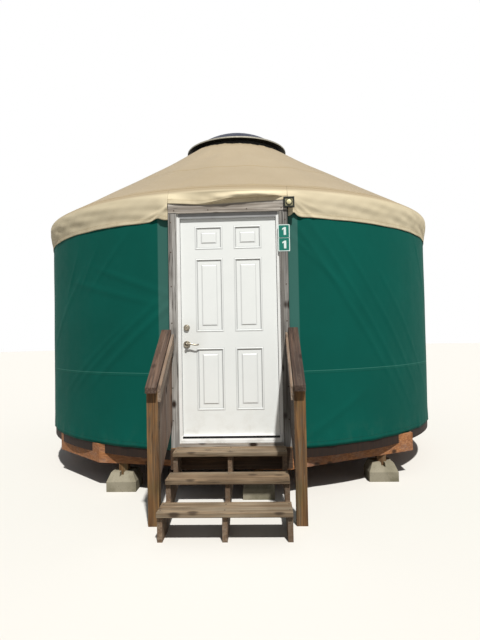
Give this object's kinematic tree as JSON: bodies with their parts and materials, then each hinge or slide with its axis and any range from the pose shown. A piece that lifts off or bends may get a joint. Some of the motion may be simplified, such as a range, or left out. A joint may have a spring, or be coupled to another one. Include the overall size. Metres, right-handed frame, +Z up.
{
  "type": "yurt",
  "caption": "Round canvas-covered yurt on a raised timber platform, with a domed skylight, a panelled door that opens inward, and open steps with handrails.",
  "frame": {"origin": "on the ground, under the middle of the round floor and of its centre pier block", "axes": "+Z up, the door and steps face -Y, +X to the right of someone who looks at the door"},
  "size_m": [4.936, 5.898, 4.288],
  "materials": {
    "concrete": "cast concrete, weathered",
    "treated_pine": "pressure-treated pine, streaked",
    "frame_timber": "sawn framing timber, warm brown",
    "deck_board": "floor boards, satin",
    "band_stain": "dark brown stain",
    "lattice_wood": "planed lath, clear finish",
    "steel_cable": "galvanised wire rope",
    "green_canvas": "coated canvas, dark green, matte",
    "tan_canvas": "coated canvas, tan, matte",
    "rafter_wood": "planed softwood, clear finish",
    "curb_black": "dark paint",
    "dome_tint": "dark tinted acrylic, glossy",
    "rim_metal": "weathered aluminium",
    "weathered_timber": "bare timber gone grey",
    "white_paint": "white paint",
    "door_paint": "white paint, satin",
    "hinge_metal": "plated steel",
    "lock_metal": "satin nickel",
    "plate_green": "green enamel, white border",
    "lamp_black": "dark housing",
    "lens_cream": "cream lens",
    "tread_timber": "worn timber, grey-brown",
    "cap_timber": "dark stained board",
    "rail_timber": "pale timber, weathered"
  },
  "bodies": {
    "yurt": {"pier_blocks": "concrete", "pier_posts": "treated_pine", "platform_frame": "frame_timber", "centre_beam": "frame_timber", "floor_joists": "frame_timber", "floor_deck": "deck_board", "deck_band": "band_stain", "lattice_right": "lattice_wood", "lattice_back": "lattice_wood", "lattice_left": "lattice_wood", "lattice_end_battens": "lattice_wood", "tension_cable": "steel_cable", "wall_cover_right": "green_canvas", "wall_cover_left": "green_canvas", "roof_cover_front": "tan_canvas", "roof_cover_right": "tan_canvas", "roof_cover_back": "tan_canvas", "roof_cover_left": "tan_canvas", "rafters": "rafter_wood", "centre_ring": "rafter_wood", "dome_curb": "curb_black", "dome_skylight": "dome_tint", "dome_rim": "rim_metal", "door_jambs": "weathered_timber", "door_header": "weathered_timber", "header_beam": "weathered_timber", "door_sill": "weathered_timber", "door_threshold": "white_paint", "door_frame_sides": "white_paint", "door_frame_head": "white_paint", "hinge_frame_plates": "hinge_metal", "number_plates": "plate_green", "door_lamp": "lamp_black", "lamp_lens": "lens_cream", "stair_ledger": "treated_pine", "stair_stringers": "treated_pine", "stair_treads": "tread_timber", "handrail_posts": "treated_pine", "handrail_caps": "cap_timber", "handrails": "rail_timber", "side_boards": "rail_timber"},
    "door": {"door_leaf": "door_paint", "hinge_door_plates": "hinge_metal", "lever_roses": "lock_metal", "deadbolt": "lock_metal"},
    "lever": {"lever_handle": "lock_metal"}
  },
  "joints": [
    {"name": "door_hinge", "type": "hinge", "parent": "yurt", "child": "door", "pos_m": [0.4595, -2.3434, 1.584], "axis": [0, 0, -1], "range_deg": [0, 100]},
    {"name": "lever_turn", "type": "hinge", "parent": "door", "child": "lever", "pos_m": [-0.401, -2.373, 1.42], "axis": [0, 1, 0], "range_deg": [0, 40], "stiffness_Nm_per_rad": 1, "springref_deg": -22.92}
  ]
}
